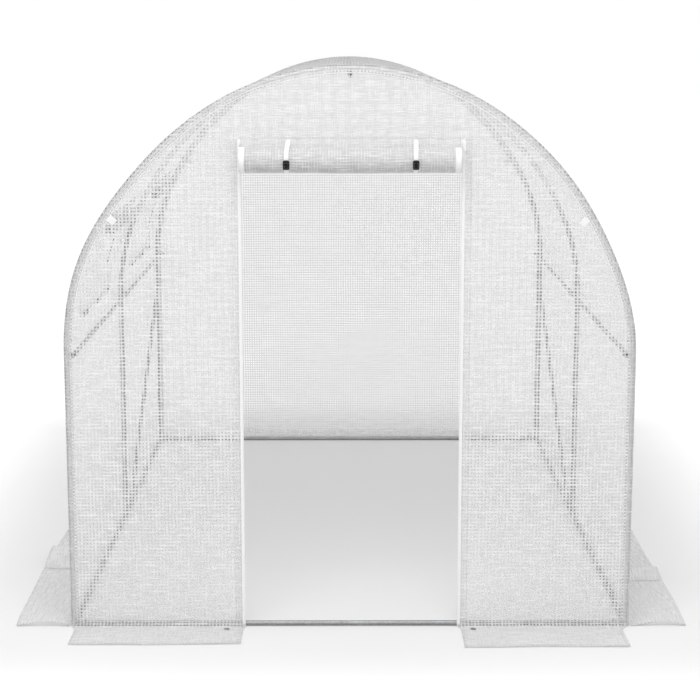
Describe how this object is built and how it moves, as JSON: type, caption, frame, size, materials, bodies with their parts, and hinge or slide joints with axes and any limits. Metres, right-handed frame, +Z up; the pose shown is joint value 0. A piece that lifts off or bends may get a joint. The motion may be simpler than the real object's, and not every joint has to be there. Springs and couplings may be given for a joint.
{
  "type": "polytunnel greenhouse",
  "caption": "Walk-in polytunnel greenhouse: round-topped steel tube hoops and bars under a translucent woven sheet cover, with a roll-up door, side windows and ground skirts.",
  "frame": {"origin": "on the ground at the middle of the footprint, skirts and flaps included", "axes": "+Y into the tunnel from the doorway, +X to the right seen from the front, +Z up"},
  "size_m": [2.4546, 3.4346, 2.0123],
  "materials": {
    "galvanised_tube": "galvanised steel tube, dull grey",
    "cover_sheet": "translucent white polyethylene sheet with a square reinforcing thread grid",
    "strap_webbing": "white woven webbing",
    "buckle_plastic": "black moulded plastic",
    "zip_tape": "white zip with woven tape",
    "window_netting": "fine white insect netting",
    "eyelet_metal": "dull nickel-plated steel"
  },
  "bodies": {
    "root": {"front_left_leg": "galvanised_tube", "front_right_leg": "galvanised_tube", "front_left_bow": "galvanised_tube", "front_right_bow": "galvanised_tube", "middle_left_leg": "galvanised_tube", "middle_right_leg": "galvanised_tube", "middle_left_bow": "galvanised_tube", "middle_right_bow": "galvanised_tube", "rear_left_leg": "galvanised_tube", "rear_right_leg": "galvanised_tube", "rear_left_bow": "galvanised_tube", "rear_right_bow": "galvanised_tube", "ridge_bar": "galvanised_tube", "left_side_rail": "galvanised_tube", "right_side_rail": "galvanised_tube", "front_ground_bar": "galvanised_tube", "rear_ground_bar": "galvanised_tube", "left_ground_bars": "galvanised_tube", "right_ground_bars": "galvanised_tube", "rear_bay_braces": "galvanised_tube", "left_wall": "cover_sheet", "left_shoulder": "cover_sheet", "left_haunch": "cover_sheet", "left_crown": "cover_sheet", "right_wall": "cover_sheet", "right_shoulder": "cover_sheet", "right_haunch": "cover_sheet", "right_crown": "cover_sheet", "front_panel_left": "cover_sheet", "front_panel_right": "cover_sheet", "front_panel_top": "cover_sheet", "rear_panel": "cover_sheet", "left_skirt": "cover_sheet", "right_skirt": "cover_sheet", "front_flap_left": "cover_sheet", "front_flap_right": "cover_sheet", "rear_ground_flap": "cover_sheet", "rolled_door": "cover_sheet", "window_rolls": "cover_sheet", "door_straps": "strap_webbing", "tie_tabs": "strap_webbing", "strap_buckles": "buckle_plastic", "door_zips": "zip_tape", "window_nets": "window_netting", "peg_eyelets": "eyelet_metal"}
  },
  "joints": []
}
